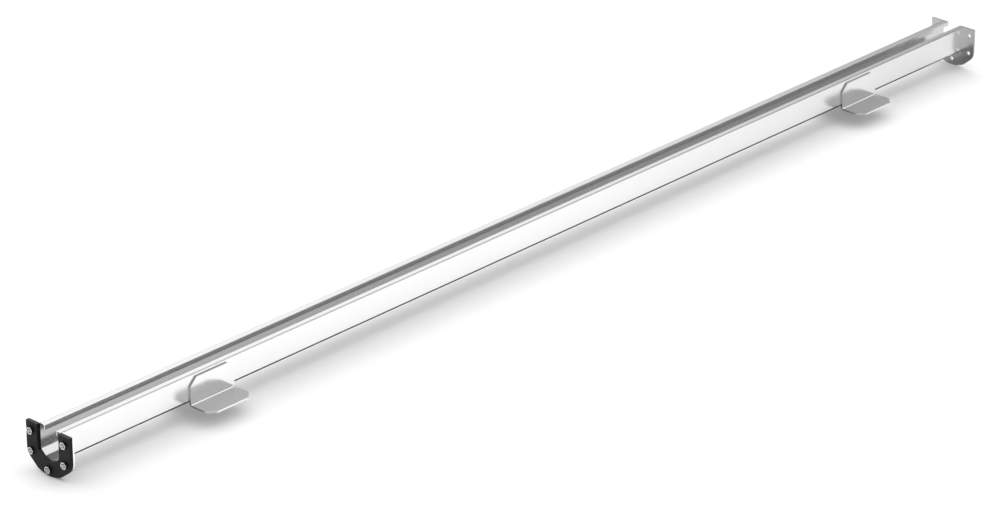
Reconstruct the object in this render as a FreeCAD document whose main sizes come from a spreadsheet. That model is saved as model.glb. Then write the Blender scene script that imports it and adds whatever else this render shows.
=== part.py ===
import FreeCAD, Part
import Sketcher
import math
import os

# Floor slot channel section: a folded stainless sheet channel, open along a slot in its top,
# with a bolting flange welded round each end, a rubber gasket bolted to the near flange and
# four anchor brackets on its walls. X runs along the length, Z is up, and the origin is under
# the middle of the whole section, at the height of the lowest edge of the flanges.

doc = FreeCAD.newDocument("slot_channel")

# Driving dimensions, in millimetres and degrees
DIMENSIONS = [
    ("section_length", 2000.0),
    ("body_width", 44.5),
    ("sheet_thickness", 1.2),
    ("bend_radius", 0.3),
    ("slot_width", 23.2),
    ("lip_depth", 7.3),
    ("wall_depth", 39.0),
    ("shoulder_angle", 41.0),
    ("knee_half_width", 12.5),
    ("keel_angle", 17.5),
    ("flange_reach", 21.5),
    ("flange_thickness", 3.0),
    ("flange_shoulder_radius", 19.0),
    ("flange_knee_radius", 12.0),
    ("flange_keel_radius", 50.0),
    ("side_hole_reach", 11.25),
    ("upper_hole_depth", 12.7),
    ("side_hole_pitch", 30.5),
    ("gasket_thickness", 5.8),
    ("gasket_lap", 0.7),
    ("gasket_opening_radius", 12.0),
    ("bolt_diameter", 6.0),
    ("hole_clearance", 0.6),
    ("thread_gap", 0.1),
    ("hex_across_flats", 10.0),
    ("hex_face_diameter", 11.0),
    ("bolt_head_height", 4.0),
    ("bolt_end_proud", 0.3),
    ("bolt_end_chamfer", 0.8),
    ("nut_height", 4.0),
    ("nut_countersink", 0.7),
    ("bracket_from_end", 280.0),
    ("bracket_width", 84.5),
    ("bracket_leg_height", 42.8),
    ("bracket_tab_depth", 43.2),
    ("bracket_thickness", 2.5),
    ("bracket_bend_radius", 1.5),
    ("bracket_corner_chamfer", 12.2),
    ("bracket_top_drop", 5.0),
]
sheet = doc.addObject("Spreadsheet::Sheet", "sheet")
for row, (alias, value) in enumerate(DIMENSIONS, start=1):
    sheet.set(f"A{row}", alias)
    sheet.set(f"B{row}", f"{value:g}")
    sheet.setAlias(f"B{row}", alias)
doc.recompute()

# Places worked out from the driving dimensions. The section is drawn in Y and Z with zero at
# the sharp point where the two keel slopes of the flange outline would meet.
WALL = "sheet.body_width / 2"
KEEL_POINT = "sheet.flange_reach / cos(sheet.keel_angle)"
KNEE_RISE = "sheet.knee_half_width * tan(sheet.keel_angle)"
SHOULDER_RISE = "(sheet.body_width / 2 - sheet.knee_half_width) * tan(sheet.shoulder_angle)"
RIM_TOP = f"({KEEL_POINT} + {KNEE_RISE} + {SHOULDER_RISE} + sheet.wall_depth)"
KEEL_CUT = "sheet.flange_keel_radius * (1 / cos(sheet.keel_angle) - 1)"
NUT_STACK = "(sheet.nut_height + sheet.bolt_end_proud)"
NEAR_PROUD = f"(sheet.gasket_thickness + {NUT_STACK})"
NEAR_FACE = f"({NEAR_PROUD} - sheet.section_length) / 2"
FAR_FACE = f"({NEAR_PROUD} + sheet.section_length) / 2"
HOLE_DIAMETER = "sheet.bolt_diameter + sheet.hole_clearance"
HEX_RADIUS = "sheet.hex_across_flats / sqrt(3)"
SIDE_HOLE = "(sheet.body_width / 2 + sheet.side_hole_reach)"
UPPER_HOLE = f"({RIM_TOP} - sheet.upper_hole_depth)"
LOWER_HOLE = f"({RIM_TOP} - sheet.upper_hole_depth - sheet.side_hole_pitch)"
KEEL_HOLE = f"(({KEEL_POINT} + {KEEL_CUT}) / 2)"
HOLES = [
    (SIDE_HOLE, UPPER_HOLE, 1),
    (SIDE_HOLE, LOWER_HOLE, 1),
    ("0", KEEL_HOLE, 0),
    (SIDE_HOLE, LOWER_HOLE, -1),
    (SIDE_HOLE, UPPER_HOLE, -1),
]
FLOOR_SHIFT = f"-({KEEL_CUT})"
OUTER_BEND = "sheet.bend_radius + sheet.sheet_thickness"
TOUCH = 1e-4
pieces = []


def section_corners(offset):
    """Half of the section line, keel to rim, set off by this much from the sheet's outer face."""
    turn = "(sheet.shoulder_angle + sheet.keel_angle) / 2"
    half_bend = "(sheet.shoulder_angle - sheet.keel_angle) / 2"
    keel = ("0", f"{KEEL_POINT} - ({offset}) / cos(sheet.keel_angle)")
    knee = (
        f"sheet.knee_half_width + ({offset}) * sin({turn}) / cos({half_bend})",
        f"{KEEL_POINT} + {KNEE_RISE} - ({offset}) * cos({turn}) / cos({half_bend})",
    )
    shoulder = (
        f"{WALL} + ({offset})",
        f"{KEEL_POINT} + {KNEE_RISE} + {SHOULDER_RISE}"
        f" - ({offset}) * tan((90 - sheet.shoulder_angle) / 2)",
    )
    rim = (f"{WALL} + ({offset})", RIM_TOP)
    return [keel, knee, shoulder, rim]


def origin_plane(body, role):
    """One of the body's own origin planes, by its role."""
    return next(item for item in body.Origin.OriginFeatures if item.Role == role)


def new_sketch(body, name, role):
    """An empty sketch on one of the body's origin planes."""
    sketch = body.newObject("Sketcher::SketchObject", name)
    sketch.AttachmentSupport = (origin_plane(body, role), [""])
    sketch.MapMode = "FlatFace"
    return sketch


def place_point(sketch, geometry, position, u, v, side=1):
    """Bind one point of the sketch to two expressions, measured from the sketch's origin."""
    for kind, expression, axis in (("DistanceX", u, -2), ("DistanceY", v, -1)):
        if expression == "0":
            sketch.addConstraint(Sketcher.Constraint("PointOnObject", geometry, position, axis))
            continue
        ends = (-1, 1, geometry, position)
        if kind == "DistanceX" and side < 0:
            ends = (geometry, position, -1, 1)
        index = sketch.addConstraint(Sketcher.Constraint(kind, *ends, 1.0))
        sketch.setExpression(f"Constraints[{index}]", expression)


def draw_outline(sketch, corners):
    """A closed outline of straight lines. It starts as a ring, and its constraints place it."""
    count = len(corners)
    ring = []
    for step in range(count):
        angle = 2 * math.pi * step / count
        ring.append(FreeCAD.Vector(30 + 20 * math.cos(angle), 30 + 20 * math.sin(angle), 0))
    for step in range(count):
        sketch.addGeometry(Part.LineSegment(ring[step], ring[(step + 1) % count]), False)
    for step in range(count):
        sketch.addConstraint(Sketcher.Constraint("Coincident", step, 2, (step + 1) % count, 1))
    for step, (u, v) in enumerate(corners):
        place_point(sketch, step, 1, u, v)
    doc.recompute()


def pad(body, sketch, name, length):
    """Thickness for a drawn outline, along the sketch's normal."""
    feature = body.newObject("PartDesign::Pad", name)
    feature.Profile = sketch
    feature.setExpression("Length", length)
    doc.recompute()
    return feature


def mirror(body, feature, name):
    """The other half of a symmetric piece, across the plane of the channel's middle."""
    mirrored = body.newObject("PartDesign::Mirrored", name)
    mirrored.Originals = [feature]
    mirrored.MirrorPlane = (origin_plane(body, "XZ_Plane"), [""])
    mirrored.Refine = True
    body.Tip = mirrored
    doc.recompute()
    return mirrored


def edges_along_x(shape, points):
    """Names of the edges that run along X through these points, on both sides of the middle."""
    names = []
    for number, edge in enumerate(shape.Edges, start=1):
        start = edge.Vertexes[0].Point
        end = edge.Vertexes[-1].Point
        if math.hypot(end.y - start.y, end.z - start.z) > TOUCH or abs(end.x - start.x) < TOUCH:
            continue
        for point in points:
            if math.hypot(abs(start.y) - point.x, start.z - point.y) < TOUCH:
                names.append(f"Edge{number}")
    return names


def round_corners(body, sketch, corners, name, radius):
    """Round the edges that were drawn as these corners of the sketch."""
    base = body.Tip
    points = [sketch.getPoint(corner, 1) for corner in corners]
    fillet = body.newObject("PartDesign::Fillet", name)
    fillet.Base = (base, edges_along_x(base.Shape, points))
    fillet.setExpression("Radius", radius)
    body.Tip = fillet
    doc.recompute()


def place(piece, x, y, z, rotation=FreeCAD.Rotation()):
    """Put a finished piece in its place in the shared frame."""
    piece.Placement = FreeCAD.Placement(FreeCAD.Vector(), rotation)
    for axis, expression in (("x", x), ("y", y), ("z", z)):
        piece.setExpression(f"Placement.Base.{axis}", expression)


# Channel body: one sheet folded along its length into two lips, two rims, two walls and a
# keeled floor of four slopes. Half of the section is drawn and mirrored.
LIP_FACE = "sheet.slot_width / 2"
LIP_END = f"{RIM_TOP} - sheet.lip_depth"
RIM_UNDER = f"{RIM_TOP} - sheet.sheet_thickness"
channel = doc.addObject("PartDesign::Body", "channel_body")
channel_sketch = new_sketch(channel, "channel_section", "YZ_Plane")
outer_line = section_corners("0")
inner_line = section_corners("-sheet.sheet_thickness")
lip_and_rim = [
    (LIP_FACE, RIM_TOP),
    (LIP_FACE, LIP_END),
    (f"{LIP_FACE} + sheet.sheet_thickness", LIP_END),
    (f"{LIP_FACE} + sheet.sheet_thickness", RIM_UNDER),
    (f"{WALL} - sheet.sheet_thickness", RIM_UNDER),
]
draw_outline(channel_sketch, outer_line + lip_and_rim + inner_line[2::-1])
mirror(channel, pad(channel, channel_sketch, "channel_half", "sheet.section_length"), "channel_fold")
round_corners(channel, channel_sketch, range(0, 5), "outer_bends", OUTER_BEND)
round_corners(channel, channel_sketch, range(7, 12), "inner_bends", "sheet.bend_radius")
place(channel, NEAR_FACE, "0", FLOOR_SHIFT)
pieces.append(channel)


def flange_ring(name, thickness, opening_offset, opening_bend):
    """A flat U that follows the section outside, open at the top, with the five bolt holes."""
    body = doc.addObject("PartDesign::Body", name)
    outline = new_sketch(body, f"{name}_outline", "YZ_Plane")
    outside = section_corners("sheet.flange_reach")
    opening = section_corners(opening_offset)
    draw_outline(outline, outside + opening[::-1])
    mirror(body, pad(body, outline, f"{name}_half", thickness), f"{name}_whole")
    round_corners(body, outline, [0], f"{name}_keel", "sheet.flange_keel_radius")
    round_corners(body, outline, [1], f"{name}_knees", "sheet.flange_knee_radius")
    round_corners(body, outline, [2], f"{name}_shoulders", "sheet.flange_shoulder_radius")
    round_corners(body, outline, [5, 6, 7], f"{name}_opening_bends", opening_bend)
    hole_sketch = new_sketch(body, f"{name}_hole_centres", "YZ_Plane")
    for number, (u, v, side) in enumerate(HOLES):
        start = FreeCAD.Vector(10 * side, 10 * number + 10, 0)
        hole_sketch.addGeometry(Part.Circle(start, FreeCAD.Vector(0, 0, 1), 1.0), False)
        place_point(hole_sketch, number, 3, u, v, side)
        index = hole_sketch.addConstraint(Sketcher.Constraint("Diameter", number, 2.0))
        hole_sketch.setExpression(f"Constraints[{index}]", HOLE_DIAMETER)
    doc.recompute()
    solid_volume = body.Tip.Shape.Volume
    holes = body.newObject("PartDesign::Pocket", f"{name}_holes")
    holes.Profile = hole_sketch
    holes.SideType = "Symmetric"
    holes.Type = "ThroughAll"
    body.Tip = holes
    doc.recompute()
    if not holes.Shape.Volume < solid_volume:
        raise RuntimeError(f"{name}: the bolt holes cut nothing")
    return body


# End flanges: two like steel plates, each welded round one end of the channel with its outer
# face flush with the sheet's end.
near_flange = flange_ring("near_end_flange", "sheet.flange_thickness", "0", OUTER_BEND)
place(near_flange, NEAR_FACE, "0", FLOOR_SHIFT)
pieces.append(near_flange)
far_flange = flange_ring("far_end_flange", "sheet.flange_thickness", "0", OUTER_BEND)
place(far_flange, f"{FAR_FACE} - sheet.flange_thickness", "0", FLOOR_SHIFT)
pieces.append(far_flange)

# Gasket: a rubber U of the flange's outline, bolted flat against the near flange. Its opening
# follows the channel with rounder corners, and its inner edge laps over the end of the sheet.
gasket = flange_ring(
    "flange_gasket", "sheet.gasket_thickness", "-sheet.gasket_lap", "sheet.gasket_opening_radius"
)
place(gasket, f"{NEAR_FACE} - sheet.gasket_thickness", "0", FLOOR_SHIFT)
pieces.append(gasket)


def anchor_bracket(name):
    """A bent steel angle: an upright leg for the wall and a level tab, with cropped corners."""
    body = doc.addObject("PartDesign::Body", name)
    profile = new_sketch(body, f"{name}_profile", "YZ_Plane")
    thick = "sheet.bracket_thickness"
    tab = "sheet.bracket_tab_depth"
    leg = "sheet.bracket_leg_height"
    outer_corners = [("0", "0"), (tab, "0"), (tab, thick)]
    draw_outline(profile, outer_corners + [(thick, thick), (thick, leg), ("0", leg)])
    pad(body, profile, f"{name}_blank", "sheet.bracket_width")
    inner_bend = "sheet.bracket_bend_radius"
    round_corners(body, profile, [0], f"{name}_outer_bend", f"{inner_bend} + {thick}")
    round_corners(body, profile, [3], f"{name}_inner_bend", inner_bend)
    base = body.Tip
    tab_end = profile.getPoint(1, 1).x
    leg_end = profile.getPoint(4, 1).y
    corner_edges = []
    for number, edge in enumerate(base.Shape.Edges, start=1):
        start = edge.Vertexes[0].Point
        end = edge.Vertexes[-1].Point
        if abs(end.x - start.x) > TOUCH:
            continue
        on_leg_top = abs(start.z - leg_end) < TOUCH and abs(end.z - leg_end) < TOUCH
        on_tab_end = abs(start.y - tab_end) < TOUCH and abs(end.y - tab_end) < TOUCH
        if on_leg_top or on_tab_end:
            corner_edges.append(f"Edge{number}")
    chamfer = body.newObject("PartDesign::Chamfer", f"{name}_corners")
    chamfer.Base = (base, corner_edges)
    chamfer.setExpression("Size", "sheet.bracket_corner_chamfer")
    body.Tip = chamfer
    doc.recompute()
    return body


# Anchor brackets: four like angles welded to the walls, a pair near each end, one on each side.
BRACKET_FOOT = f"{RIM_TOP} - sheet.bracket_top_drop - sheet.bracket_leg_height - ({KEEL_CUT})"
ALONG = {
    "near": f"{NEAR_FACE} + sheet.bracket_from_end",
    "far": f"{FAR_FACE} - sheet.bracket_from_end",
}
for end, centre in ALONG.items():
    right = anchor_bracket(f"anchor_bracket_{end}_right")
    place(
        right,
        f"{centre} + sheet.bracket_width / 2",
        f"-({WALL})",
        BRACKET_FOOT,
        FreeCAD.Rotation(FreeCAD.Vector(0, 0, 1), 180),
    )
    left = anchor_bracket(f"anchor_bracket_{end}_left")
    place(left, f"{centre} - sheet.bracket_width / 2", WALL, BRACKET_FOOT)
    pieces.extend([right, left])


def cylinder(name, radius, height):
    """A round bar or bore along its own Z, from zero upwards."""
    bar = doc.addObject("Part::Cylinder", name)
    bar.setExpression("Radius", radius)
    bar.setExpression("Height", height)
    return bar


# Hexagons: bolt heads and nuts have their corners turned off at a small angle to the face, and
# all stand turned alike, with no flat level.
CORNER_ANGLE = 30
HEX_TURN = FreeCAD.Rotation(FreeCAD.Vector(0, 0, 1), 42)


def chamfered_hex(name, height, chamfer_at_top):
    """A hexagonal prism along its own Z with its corners turned off on one face."""
    prism = doc.addObject("Part::Prism", f"{name}_hexagon")
    prism.Polygon = 6
    prism.setExpression("Circumradius", HEX_RADIUS)
    prism.setExpression("Height", height)
    prism.Placement = FreeCAD.Placement(FreeCAD.Vector(), HEX_TURN)
    cone = doc.addObject("Part::Cone", f"{name}_turning")
    face_radius = "sheet.hex_face_diameter / 2"
    wide_radius = f"{face_radius} + {height} / tan({CORNER_ANGLE})"
    cone.setExpression("Radius1", wide_radius if chamfer_at_top else face_radius)
    cone.setExpression("Radius2", face_radius if chamfer_at_top else wide_radius)
    cone.setExpression("Height", height)
    hexagon = doc.addObject("Part::Common", f"{name}_hex")
    hexagon.Base = prism
    hexagon.Tool = cone
    return hexagon


# Flange bolts and nuts: five sets. Each bolt has its head behind the near flange, and its nut
# presses on the front of the gasket. Each is built along Z and turned to -X.
TOWARDS_NEAR_END = FreeCAD.Rotation(FreeCAD.Vector(0, 1, 0), -90)
NUT_BORE = "(sheet.bolt_diameter + sheet.thread_gap) / 2"
GRIP = f"(sheet.flange_thickness + sheet.gasket_thickness + {NUT_STACK})"
for number, (u, v, side) in enumerate(HOLES, start=1):
    y = "0" if side == 0 else f"{side} * {u}"
    z = f"{v} - ({KEEL_CUT})"

    head = chamfered_hex(f"bolt_head_{number}", "sheet.bolt_head_height", False)
    head.setExpression("Placement.Base.z", "-sheet.bolt_head_height")
    shank = cylinder(
        f"bolt_shank_{number}", "sheet.bolt_diameter / 2", f"{GRIP} - sheet.bolt_end_chamfer"
    )
    point = doc.addObject("Part::Cone", f"bolt_point_{number}")
    point.setExpression("Radius1", "sheet.bolt_diameter / 2")
    point.setExpression("Radius2", "sheet.bolt_diameter / 2 - sheet.bolt_end_chamfer")
    point.setExpression("Height", "sheet.bolt_end_chamfer")
    point.setExpression("Placement.Base.z", f"{GRIP} - sheet.bolt_end_chamfer")
    bolt = doc.addObject("Part::MultiFuse", f"flange_bolt_{number}")
    bolt.Shapes = [head, shank, point]
    place(bolt, f"{NEAR_FACE} + sheet.flange_thickness", y, z, TOWARDS_NEAR_END)

    blank = chamfered_hex(f"nut_blank_{number}", "sheet.nut_height", True)
    bore = cylinder(f"nut_bore_{number}", NUT_BORE, "sheet.nut_height")
    countersink = doc.addObject("Part::Cone", f"nut_countersink_{number}")
    countersink.setExpression("Radius1", NUT_BORE)
    countersink.setExpression("Radius2", f"{NUT_BORE} + sheet.nut_countersink")
    countersink.setExpression("Height", "sheet.nut_countersink")
    countersink.setExpression("Placement.Base.z", "sheet.nut_height - sheet.nut_countersink")
    cutter = doc.addObject("Part::MultiFuse", f"nut_cutter_{number}")
    cutter.Shapes = [bore, countersink]
    nut = doc.addObject("Part::Cut", f"flange_nut_{number}")
    nut.Base = blank
    nut.Tool = cutter
    place(nut, f"{NEAR_FACE} - sheet.gasket_thickness", y, z, TOWARDS_NEAR_END)
    pieces.extend([bolt, nut])

doc.recompute()
for item in doc.Objects:
    if "Invalid" in item.State or "Error" in item.State:
        raise RuntimeError(f"{item.Name} did not rebuild: {item.State}")
for piece in pieces:
    if piece.Shape.isNull() or not piece.Shape.isValid():
        raise RuntimeError(f"{piece.Label} has no valid shape")

os.makedirs("parts", exist_ok=True)
for piece in pieces:
    piece.Shape.exportStep(f"parts/{piece.Label}.step")
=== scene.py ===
import math

import bpy
import numpy as np
from mathutils import Matrix, Vector


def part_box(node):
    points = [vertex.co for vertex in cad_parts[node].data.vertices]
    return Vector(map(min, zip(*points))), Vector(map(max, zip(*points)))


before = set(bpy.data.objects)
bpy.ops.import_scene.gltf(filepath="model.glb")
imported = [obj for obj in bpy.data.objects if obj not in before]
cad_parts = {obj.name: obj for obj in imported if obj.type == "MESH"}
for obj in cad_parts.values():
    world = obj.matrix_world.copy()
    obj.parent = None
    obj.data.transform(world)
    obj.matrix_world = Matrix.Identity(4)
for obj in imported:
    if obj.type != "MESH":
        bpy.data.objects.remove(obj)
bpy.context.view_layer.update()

# Channel body
# One stainless sheet of 1.2 mm, folded on a press brake into two lips, two rims, two walls and
# a keeled floor. Its satin finish runs along the length. The inside is painted darker, as painted
# shade in the hollow, and each rim's top has painted shade along its outer fold.
SHEET_THICKNESS = 0.0012
SHEET_LIGHT = "#FAFAFA"
SHEET_DARK = "#F7F7F7"
# Real rolling streaks are about a tenth of a millimetre wide. On every metal piece here they are
# drawn coarser, so that they show.
SHEET_GRAIN_MM = (160.0, 1.6, 1.6)
SHEET_WAVE_MM = (240.0, 60.0, 60.0)
SHEET_ROUGHNESS = (0.19, 0.22)
MM_PER_METRE = 1000
GRAIN_DETAIL = 3.0
GRAIN_RANGE = (0.3, 0.7)
GRAIN_BUMP = {"Strength": 0.004, "Distance": 0.00002}
WAVE_DETAIL = 1.0
WAVE_BUMP = {"Strength": 0.006, "Distance": 0.0002}
INSIDE_PAINTED_SHADE = "#E5E5E5"
INSIDE_ROUGHNESS = 0.17
# The painted shade along each outer fold is drawn nearly 2 mm wide so that it shows.
FOLD_SHADE_WIDTH = 0.00185
FOLD_SHADE_TONE = "#C4C4C4"
FOLD_SHADE_ROUGHNESS = 0.25
NEARLY_LEVEL = 0.7
NOT_DOWNWARD = -0.3


def linear_colour(code):
    """sRGB hex to linear RGBA: a channel over 12.92 at the foot of the curve, else its 2.4 power."""
    channels = np.array([int(code[i:i + 2], 16) for i in (1, 3, 5)]) / 255
    foot = channels / 12.92
    curve = ((channels + 0.055) / 1.055) ** 2.4
    return (*np.where(channels <= 0.04045, foot, curve).tolist(), 1.0)


def add_node(tree, kind, inputs, **settings):
    """Add one node with its settings, and give each named input a value or a link."""
    node = tree.nodes.new(kind)
    for name, value in settings.items():
        setattr(node, name, value)
    for name, value in inputs.items():
        if isinstance(value, bpy.types.NodeSocket):
            tree.links.new(value, node.inputs[name])
        else:
            node.inputs[name].default_value = value
    return node


def empty_material(name):
    """A new node material with nothing in it yet."""
    material = bpy.data.materials.new(name)
    material.use_nodes = True
    material.node_tree.nodes.clear()
    return material


def surface_marks(tree, size_mm, detail):
    """Marks on the piece's own coordinates, whose length, width and height are in millimetres."""
    place = add_node(tree, "ShaderNodeTexCoord", {})
    cells = add_node(
        tree,
        "ShaderNodeMapping",
        {"Vector": place.outputs["Object"], "Scale": [MM_PER_METRE / size for size in size_mm]},
    )
    marks = add_node(
        tree, "ShaderNodeTexNoise", {"Vector": cells.outputs["Vector"], "Scale": 1.0, "Detail": detail}
    )
    return marks.outputs["Fac"]


def satin_stainless(name, light, dark, grain_mm, wave_mm, roughness):
    """Rolled stainless: fine streaks in tone, gloss and height, over broad shallow waves.

    The eye sees clear but soft reflections, very slightly streaked along the rolling direction.
    """
    material = empty_material(name)
    tree = material.node_tree
    grain = surface_marks(tree, grain_mm, GRAIN_DETAIL)
    wave = surface_marks(tree, wave_mm, WAVE_DETAIL)
    tone = add_node(tree, "ShaderNodeValToRGB", {"Fac": grain})
    for stop, position, colour in zip(tone.color_ramp.elements, GRAIN_RANGE, (dark, light)):
        stop.position = position
        stop.color = linear_colour(colour)
    gloss = add_node(
        tree,
        "ShaderNodeMapRange",
        {
            "Value": grain,
            "From Min": GRAIN_RANGE[0],
            "From Max": GRAIN_RANGE[1],
            "To Min": roughness[0],
            "To Max": roughness[1],
        },
    )
    waviness = add_node(tree, "ShaderNodeBump", {"Height": wave, **WAVE_BUMP})
    streaks = add_node(
        tree, "ShaderNodeBump", {"Height": grain, **GRAIN_BUMP, "Normal": waviness.outputs["Normal"]}
    )
    metal = add_node(
        tree,
        "ShaderNodeBsdfPrincipled",
        {
            "Base Color": tone.outputs["Color"],
            "Metallic": 1.0,
            "Roughness": gloss.outputs["Result"],
            "Normal": streaks.outputs["Normal"],
        },
    )
    add_node(tree, "ShaderNodeOutputMaterial", {"Surface": metal.outputs["BSDF"]})
    return material


def face_facts(tree):
    """Which way each spot of the surface points, and where it lies, both split into X, Y and Z."""
    shape = add_node(tree, "ShaderNodeNewGeometry", {})
    facing = add_node(tree, "ShaderNodeSeparateXYZ", {"Vector": shape.outputs["Normal"]})
    place = add_node(tree, "ShaderNodeTexCoord", {})
    spot = add_node(tree, "ShaderNodeSeparateXYZ", {"Vector": place.outputs["Object"]})
    return facing.outputs, spot.outputs


def where_all(tree, tests):
    """A mask that is 1 where every test holds, and each test is a value, a comparison and a limit."""
    mask = None
    for value, comparison, limit in tests:
        held = add_node(tree, "ShaderNodeMath", {0: value, 1: limit}, operation=comparison)
        if mask is not None:
            held = add_node(
                tree, "ShaderNodeMath", {0: mask, 1: held.outputs["Value"]}, operation="MULTIPLY"
            )
        mask = held.outputs["Value"]
    return mask


def second_finish(material, mask, tone, roughness):
    """Where the mask is 1, put another tone and gloss on a material that is already made."""
    tree = material.node_tree
    surface = tree.nodes["Principled BSDF"]
    finish = (("Base Color", "RGBA", linear_colour(tone)), ("Roughness", "FLOAT", roughness))
    for name, kind, value in finish:
        first = surface.inputs[name].links[0].from_socket
        mixed = add_node(tree, "ShaderNodeMix", {"Factor": mask, "A": first, "B": value}, data_type=kind)
        tree.links.new(mixed.outputs["Result"], surface.inputs[name])


def finish_node(name, material):
    """Give a CAD piece its finish, in place of the plain one that it came with."""
    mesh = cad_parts[name].data
    mesh.materials.clear()
    mesh.materials.append(material)


channel_low, channel_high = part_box("channel_body")
rolled_sheet = satin_stainless(
    "satin_rolled_stainless", SHEET_LIGHT, SHEET_DARK, SHEET_GRAIN_MM, SHEET_WAVE_MM, SHEET_ROUGHNESS
)
tree = rolled_sheet.node_tree
facing, spot = face_facts(tree)
# Inner faces: a darker tone and gloss, painted shade in the hollow of the channel.
inner_face = where_all(
    tree,
    [
        (spot["Y"], "LESS_THAN", channel_high.y - SHEET_THICKNESS / 2),
        (spot["Y"], "GREATER_THAN", channel_low.y + SHEET_THICKNESS / 2),
        (spot["Z"], "LESS_THAN", channel_high.z - SHEET_THICKNESS / 2),
        (facing["Z"], "GREATER_THAN", NOT_DOWNWARD),
    ],
)
second_finish(rolled_sheet, inner_face, INSIDE_PAINTED_SHADE, INSIDE_ROUGHNESS)
# A grey strip on top of each rim along its outer fold: painted shade of the bend.
left_fold = (spot["Y"], "GREATER_THAN", channel_high.y - FOLD_SHADE_WIDTH)
right_fold = (spot["Y"], "LESS_THAN", channel_low.y + FOLD_SHADE_WIDTH)
for fold in (left_fold, right_fold):
    fold_shade = where_all(tree, [fold, (facing["Z"], "GREATER_THAN", NEARLY_LEVEL)])
    second_finish(rolled_sheet, fold_shade, FOLD_SHADE_TONE, FOLD_SHADE_ROUGHNESS)
finish_node("channel_body", rolled_sheet)

# End flanges
# Two U plates of 3 mm stainless, cut by laser and welded round the ends of the channel. Their
# faces keep the duller mill finish of plate. The near plate's side edges carry the bright sheet
# tone and gloss as a painted highlight beside the gasket, and the far plate's are left as cut.
PLATE_LIGHT = "#CACACA"
PLATE_DARK = "#C1C1C1"
PLATE_GRAIN_MM = (3.0, 40.0, 2.0)
PLATE_WAVE_MM = (30.0, 60.0, 30.0)
PLATE_ROUGHNESS = (0.27, 0.33)
EDGE_HIGHLIGHT_ROUGHNESS = 0.2
SIDEWAYS = 0.5


def side_faces(tree, facing, limit):
    """A mask of the faces that look sideways: along X, their normal is within the limit both ways."""
    return where_all(tree, [(facing["X"], "LESS_THAN", limit), (facing["X"], "GREATER_THAN", -limit)])


mill_plate = satin_stainless(
    "mill_finish_stainless_plate", PLATE_LIGHT, PLATE_DARK, PLATE_GRAIN_MM, PLATE_WAVE_MM, PLATE_ROUGHNESS
)
finish_node("far_end_flange", mill_plate)
# The near plate is a copy whose side edges are painted bright: a painted highlight.
highlight_edge_plate = mill_plate.copy()
highlight_edge_plate.name = "mill_finish_stainless_plate_painted_highlight_edge"
tree = highlight_edge_plate.node_tree
facing, _ = face_facts(tree)
second_finish(highlight_edge_plate, side_faces(tree, facing, SIDEWAYS), SHEET_LIGHT, EDGE_HIGHLIGHT_ROUGHNESS)
finish_node("near_end_flange", highlight_edge_plate)

# Flange gasket
# A U cut from black rubber sheet and bolted flat against the near flange. Calendered rubber is
# matt, with a faint pebble and a little dust that greys it unevenly. The sides are painted blacker
# than the face, as painted shade, and the edges that point up carry a painted highlight.
RUBBER_DARK = "#0E0E0E"
RUBBER_DUSTY = "#131313"
RUBBER_DUST_MM = (12.0, 12.0, 12.0)
DUST_DETAIL = 4.0
DUST_RANGE = (0.35, 0.7)
# The pebble of real sheet rubber is finer, and is drawn coarser so that it shows close by.
RUBBER_PEBBLE_MM = (0.8, 0.8, 0.8)
PEBBLE_DETAIL = 2.0
PEBBLE_BUMP = {"Strength": 0.2, "Distance": 0.0001}
RUBBER_ROUGHNESS = (0.62, 0.8)
RUBBER_SPECULAR = 0.4
SHADED_SIDE_RUBBER = "#050505"
SHADED_SIDE_ROUGHNESS = 0.8
LIT_TOP_EDGE = "#262626"
LIT_TOP_EDGE_ROUGHNESS = 0.5
UPWARD = 0.5
rubber = empty_material("calendered_black_rubber")
tree = rubber.node_tree
dust = surface_marks(tree, RUBBER_DUST_MM, DUST_DETAIL)
pebble = surface_marks(tree, RUBBER_PEBBLE_MM, PEBBLE_DETAIL)
black = add_node(tree, "ShaderNodeValToRGB", {"Fac": dust})
for stop, position, colour in zip(black.color_ramp.elements, DUST_RANGE, (RUBBER_DARK, RUBBER_DUSTY)):
    stop.position = position
    stop.color = linear_colour(colour)
matt = add_node(
    tree,
    "ShaderNodeMapRange",
    {"Value": dust, "To Min": RUBBER_ROUGHNESS[0], "To Max": RUBBER_ROUGHNESS[1]},
)
skin = add_node(tree, "ShaderNodeBump", {"Height": pebble, **PEBBLE_BUMP})
body = add_node(
    tree,
    "ShaderNodeBsdfPrincipled",
    {
        "Base Color": black.outputs["Color"],
        "Roughness": matt.outputs["Result"],
        "Specular IOR Level": RUBBER_SPECULAR,
        "Normal": skin.outputs["Normal"],
    },
)
add_node(tree, "ShaderNodeOutputMaterial", {"Surface": body.outputs["BSDF"]})
facing, _ = face_facts(tree)
# The sides get a blacker tone: painted shade.
second_finish(rubber, side_faces(tree, facing, SIDEWAYS), SHADED_SIDE_RUBBER, SHADED_SIDE_ROUGHNESS)
# Edges that point up get a lighter tone: a painted highlight.
lit_top = where_all(tree, [(facing["Z"], "GREATER_THAN", UPWARD)])
second_finish(rubber, lit_top, LIT_TOP_EDGE, LIT_TOP_EDGE_ROUGHNESS)
finish_node("flange_gasket", rubber)

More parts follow.
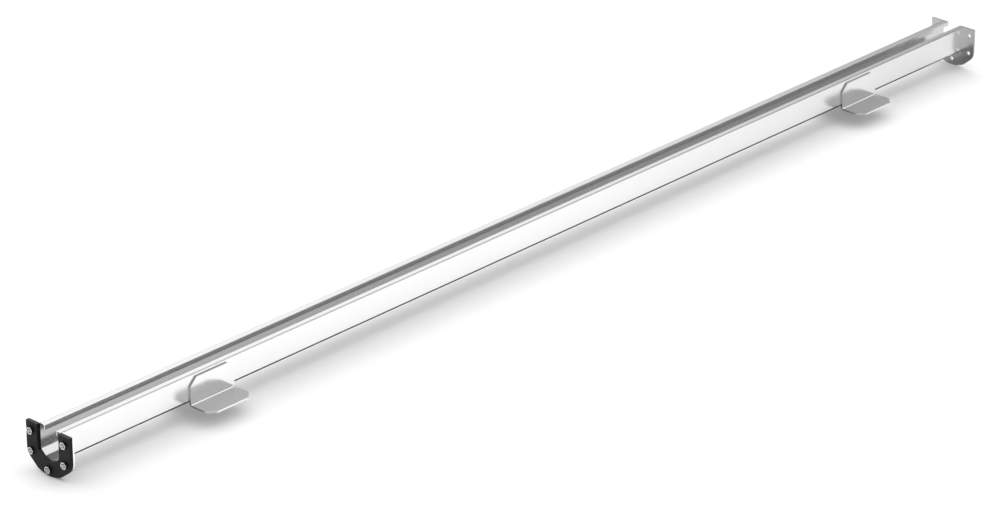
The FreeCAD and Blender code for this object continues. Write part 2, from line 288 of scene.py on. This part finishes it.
# Anchor brackets
# Four angles of 2.5 mm stainless, sheared with cropped corners, bent once and welded to the
# walls by the leg. The faces are satin like the channel. The sheared edges are rough, and their
# dull grey is partly painted shade. The cropped near corners of the tabs carry a painted highlight.
BRACKET_GRAIN_MM = (40.0, 1.8, 1.8)
BRACKET_WAVE_MM = (80.0, 40.0, 40.0)
BRACKET_ROUGHNESS = (0.15, 0.18)
SHEARED_EDGE_AND_SHADE = "#BCBCBC"
SHEARED_ROUGHNESS = 0.6
CROPPED_EDGE_HIGHLIGHT = "#CCCCCC"
CROPPED_HIGHLIGHT_ROUGHNESS = 0.5
ENDWAYS = 0.6
SQUARE_ENDWAYS = 0.8
bracket_low, bracket_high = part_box("anchor_bracket_near_right")
bracket_middle = (bracket_low.z + bracket_high.z) / 2
bent_sheet = satin_stainless(
    "satin_bent_stainless", SHEET_LIGHT, SHEET_DARK, BRACKET_GRAIN_MM, BRACKET_WAVE_MM, BRACKET_ROUGHNESS
)
tree = bent_sheet.node_tree
facing, spot = face_facts(tree)
# Sheared edges: rough, and a grey tone that is partly painted shade.
near_edge = [(facing["X"], "LESS_THAN", -ENDWAYS)]
far_edge = [(facing["X"], "GREATER_THAN", ENDWAYS)]
top_edge = [(facing["Z"], "GREATER_THAN", UPWARD), (spot["Z"], "GREATER_THAN", bracket_middle)]
for edge in (near_edge, far_edge, top_edge):
    second_finish(bent_sheet, where_all(tree, edge), SHEARED_EDGE_AND_SHADE, SHEARED_ROUGHNESS)
# The cropped near corners get a lighter tone: a painted highlight.
cropped_corner_highlight = [
    (facing["X"], "LESS_THAN", -ENDWAYS),
    (facing["X"], "GREATER_THAN", -SQUARE_ENDWAYS),
    (spot["Z"], "LESS_THAN", bracket_middle),
]
second_finish(bent_sheet, where_all(tree, cropped_corner_highlight), CROPPED_EDGE_HIGHLIGHT, CROPPED_HIGHLIGHT_ROUGHNESS)
for end in ("near", "far"):
    for side in ("right", "left"):
        finish_node(f"anchor_bracket_{end}_{side}", bent_sheet)

# Flange bolts and nuts
# Five M6 stainless bolts and nuts, cold formed and then turned on their faces, which hold the
# gasket to the near flange. The turned faces are bright, and the flats, countersinks and flanks
# are painted dark grey and a little rougher, as painted shade.
FASTENER_COUNT = 5
FASTENER_MARK_MM = (0.5, 0.5, 0.5)
FASTENER_WAVE_MM = (6.0, 6.0, 6.0)
NUT_LIGHT = "#DEDEDE"
NUT_DARK = "#D4D4D4"
NUT_ROUGHNESS = (0.16, 0.22)
BOLT_LIGHT = "#BEBEBE"
BOLT_DARK = "#B0B0B0"
BOLT_ROUGHNESS = (0.32, 0.40)
FLANK_PAINTED_SHADE = "#6A6A6A"
FLANK_SHADE_ROUGHNESS = 0.35
SQUARE_ON = 0.8
turned_nut = satin_stainless(
    "turned_stainless_nut", NUT_LIGHT, NUT_DARK, FASTENER_MARK_MM, FASTENER_WAVE_MM, NUT_ROUGHNESS
)
turned_bolt = satin_stainless(
    "turned_stainless_bolt", BOLT_LIGHT, BOLT_DARK, FASTENER_MARK_MM, FASTENER_WAVE_MM, BOLT_ROUGHNESS
)
# Flats, countersinks and flanks get a dark grey tone: painted shade.
for fastener in (turned_nut, turned_bolt):
    tree = fastener.node_tree
    facing, _ = face_facts(tree)
    second_finish(fastener, side_faces(tree, facing, SQUARE_ON), FLANK_PAINTED_SHADE, FLANK_SHADE_ROUGHNESS)
for number in range(1, FASTENER_COUNT + 1):
    finish_node(f"flange_bolt_{number}", turned_bolt)
    finish_node(f"flange_nut_{number}", turned_nut)

# Floor
# A plain pale studio floor under the part, painted matt white. It catches the soft shadow, and
# shows a little lighter than its paint alone would. To the metal alone it has painted shade: full
# straight under the channel, less near the far flange, and a little towards the far end.
FLOOR_RADIUS = 40.0
FLOOR_POINTS = 96
FLOOR_COLOUR = "#F2F2F2"
FLOOR_LIFT = 0.17
SHADE_HALF_WIDTH = 0.036
SHADE_FROM = channel_low.x + 0.010
LEFT_HALF_FROM = 0.011
LEFT_FADE_FROM = channel_high.x - 0.110
LEFT_FADE_TO = channel_high.x - 0.090
LEFT_SHADE_AT_FLANGE = 0.35
RIGHT_FADE_FROM = channel_high.x - 0.070
RIGHT_FADE_TO = channel_high.x
RIGHT_SHADE_AT_FLANGE = 0.42
DIMMING_FROM = 0.1
DIMMING_TO = 1.1
DIMMING = 0.22
# The floor is a flat disc whose points lie at even angles on one circle.
angles = np.linspace(0, 2 * math.pi, FLOOR_POINTS, endpoint=False)
edge_points = FLOOR_RADIUS * np.stack([np.cos(angles), np.sin(angles), 0 * angles], axis=1)
floor_mesh = bpy.data.meshes.new("studio_floor")
floor_mesh.from_pydata(edge_points.tolist(), [], [list(range(FLOOR_POINTS))])
floor = bpy.data.objects.new("studio_floor", floor_mesh)
bpy.context.scene.collection.objects.link(floor)
floor_paint = empty_material("matt_white_floor_paint")
tree = floor_paint.node_tree
paint = add_node(tree, "ShaderNodeBsdfDiffuse", {"Color": linear_colour(FLOOR_COLOUR)})
white = add_node(tree, "ShaderNodeEmission", {"Strength": 1.0})
rays = add_node(tree, "ShaderNodeLightPath", {})
watched = add_node(
    tree,
    "ShaderNodeMath",
    {0: rays.outputs["Is Camera Ray"], 1: rays.outputs["Is Glossy Ray"]},
    operation="MAXIMUM",
)
lift = add_node(tree, "ShaderNodeMath", {0: watched.outputs["Value"], 1: FLOOR_LIFT}, operation="MULTIPLY")
lifted = add_node(
    tree,
    "ShaderNodeMixShader",
    {"Fac": lift.outputs["Value"], 1: paint.outputs["BSDF"], 2: white.outputs["Emission"]},
)
_, spot = face_facts(tree)
# Painted shade that only the metal sees, under the channel and towards the far end.
under_channel = where_all(
    tree,
    [
        (spot["Y"], "LESS_THAN", SHADE_HALF_WIDTH),
        (spot["Y"], "GREATER_THAN", -SHADE_HALF_WIDTH),
        (spot["X"], "GREATER_THAN", SHADE_FROM),
    ],
)
left_depth = add_node(
    tree,
    "ShaderNodeMapRange",
    {
        "Value": spot["X"],
        "From Min": LEFT_FADE_FROM,
        "From Max": LEFT_FADE_TO,
        "To Min": 1.0,
        "To Max": LEFT_SHADE_AT_FLANGE,
    },
)
right_depth = add_node(
    tree,
    "ShaderNodeMapRange",
    {
        "Value": spot["X"],
        "From Min": RIGHT_FADE_FROM,
        "From Max": RIGHT_FADE_TO,
        "To Min": 1.0,
        "To Max": RIGHT_SHADE_AT_FLANGE,
    },
)
right_half = where_all(
    tree, [(spot["Y"], "LESS_THAN", LEFT_HALF_FROM), (spot["X"], "LESS_THAN", RIGHT_FADE_TO)]
)
depth = add_node(
    tree,
    "ShaderNodeMix",
    {"Factor": right_half, "A": left_depth.outputs["Result"], "B": right_depth.outputs["Result"]},
)
shade = add_node(
    tree, "ShaderNodeMath", {0: under_channel, 1: depth.outputs["Result"]}, operation="MULTIPLY"
)
dimming = add_node(
    tree,
    "ShaderNodeMapRange",
    {"Value": spot["X"], "From Min": DIMMING_FROM, "From Max": DIMMING_TO, "To Max": DIMMING},
)
darker = add_node(
    tree, "ShaderNodeMath", {0: shade.outputs["Value"], 1: dimming.outputs["Result"]}, operation="MAXIMUM"
)
mirrored = add_node(
    tree,
    "ShaderNodeMath",
    {0: darker.outputs["Value"], 1: rays.outputs["Is Glossy Ray"]},
    operation="MULTIPLY",
)
dark = add_node(tree, "ShaderNodeEmission", {"Strength": 0.0})
shaded = add_node(
    tree,
    "ShaderNodeMixShader",
    {"Fac": mirrored.outputs["Value"], 1: lifted.outputs["Shader"], 2: dark.outputs["Emission"]},
)
add_node(tree, "ShaderNodeOutputMaterial", {"Surface": shaded.outputs["Shader"]})
floor_mesh.materials.append(floor_paint)

# Studio light
# A dim room with six soft panels, behind, above and in front of the part and past its far end. A
# broad lamp overhead, which the metal doesn't mirror, gives the floor its white and its shadow.
# The room's near side is pale to the metal alone.
ROOM_LEVEL = 0.10
PANELS = [
    {"azimuth": 80.0, "elevation": 30.0, "full_to": 32.5, "gone_by": 43.5, "strength": 1.06},
    {"azimuth": 34.0, "elevation": 49.0, "full_to": 0.0, "gone_by": 25.0, "strength": 0.42},
    {"azimuth": -35.0, "elevation": 50.0, "full_to": 20.0, "gone_by": 24.0, "strength": 0.95},
    {"azimuth": 90.0, "elevation": 78.0, "full_to": 36.5, "gone_by": 43.5, "strength": 0.67},
    {"azimuth": -45.0, "elevation": 20.0, "full_to": 20.0, "gone_by": 60.0, "strength": 0.285},
    {"azimuth": 0.0, "elevation": 15.0, "full_to": 9.0, "gone_by": 20.0, "strength": 0.42},
]
PALE_SIDE_FROM = 0.35
PALE_SIDE_TO = 0.0
PALE_SIDE_LEVEL = 0.7
LAMP_ENERGY = 2.04
LAMP_WIDTH = math.radians(112.0)
LAMP_LEAN = math.radians(-5.0)
room = bpy.data.worlds.new("dim_studio")
bpy.context.scene.world = room
room.use_nodes = True
tree = room.node_tree
tree.nodes.clear()
look = add_node(tree, "ShaderNodeTexCoord", {})
level = ROOM_LEVEL
for panel in PANELS:
    turn = math.radians(panel["azimuth"])
    rise = math.radians(panel["elevation"])
    axis = (math.cos(turn) * math.cos(rise), math.sin(turn) * math.cos(rise), math.sin(rise))
    towards = add_node(
        tree, "ShaderNodeVectorMath", {0: look.outputs["Generated"], 1: axis}, operation="DOT_PRODUCT"
    )
    glow = add_node(
        tree,
        "ShaderNodeMapRange",
        {
            "Value": towards.outputs["Value"],
            "From Min": math.cos(math.radians(panel["gone_by"])),
            "From Max": math.cos(math.radians(panel["full_to"])),
            "To Min": 0.0,
            "To Max": panel["strength"],
        },
        interpolation_type="SMOOTHSTEP",
    )
    total = add_node(tree, "ShaderNodeMath", {0: glow.outputs["Result"], 1: level}, operation="ADD")
    level = total.outputs["Value"]
aim = add_node(tree, "ShaderNodeSeparateXYZ", {"Vector": look.outputs["Generated"]})
pale_side = add_node(
    tree,
    "ShaderNodeMapRange",
    {
        "Value": aim.outputs["X"],
        "From Min": PALE_SIDE_FROM,
        "From Max": PALE_SIDE_TO,
        "To Min": 0.0,
        "To Max": PALE_SIDE_LEVEL,
    },
    interpolation_type="SMOOTHSTEP",
)
rays = add_node(tree, "ShaderNodeLightPath", {})
mirrored_side = add_node(
    tree,
    "ShaderNodeMath",
    {0: pale_side.outputs["Result"], 1: rays.outputs["Is Glossy Ray"]},
    operation="MULTIPLY",
)
brighter = add_node(
    tree, "ShaderNodeMath", {0: level, 1: mirrored_side.outputs["Value"]}, operation="MAXIMUM"
)
sky = add_node(tree, "ShaderNodeBackground", {"Strength": brighter.outputs["Value"]})
add_node(tree, "ShaderNodeOutputWorld", {"Surface": sky.outputs["Background"]})
overhead = bpy.data.lights.new("overhead_lamp", "SUN")
overhead.energy = LAMP_ENERGY
overhead.angle = LAMP_WIDTH
overhead_lamp = bpy.data.objects.new("overhead_lamp", overhead)
overhead_lamp.rotation_euler = (LAMP_LEAN, 0, 0)
overhead_lamp.visible_glossy = False
bpy.context.scene.collection.objects.link(overhead_lamp)

# Camera
# It stands about 7 m off with a long lens and looks down along the part from its near end. Its
# place and lens were fitted to the part's edges at their real size.
AZIMUTH = math.radians(-47.18)
ELEVATION = math.radians(24.83)
DISTANCE = 6.8798
AIM = Vector((-0.05815, 0.0360, 0.0037))
LENS_MM = 164.54
SENSOR_MM = 36.0
SIGHT = 200.0
back = Vector(
    (
        math.sin(AZIMUTH) * math.cos(ELEVATION),
        -math.cos(AZIMUTH) * math.cos(ELEVATION),
        math.sin(ELEVATION),
    )
)
lens = bpy.data.cameras.new("camera")
lens.lens = LENS_MM
lens.sensor_width = SENSOR_MM
lens.clip_end = SIGHT
camera = bpy.data.objects.new("camera", lens)
turned = back.to_track_quat("Z", "Y").to_matrix().to_4x4()
camera.matrix_world = Matrix.Translation(AIM + DISTANCE * back) @ turned
bpy.context.scene.collection.objects.link(camera)
bpy.context.scene.camera = camera
bpy.context.scene.view_settings.view_transform = "Standard"
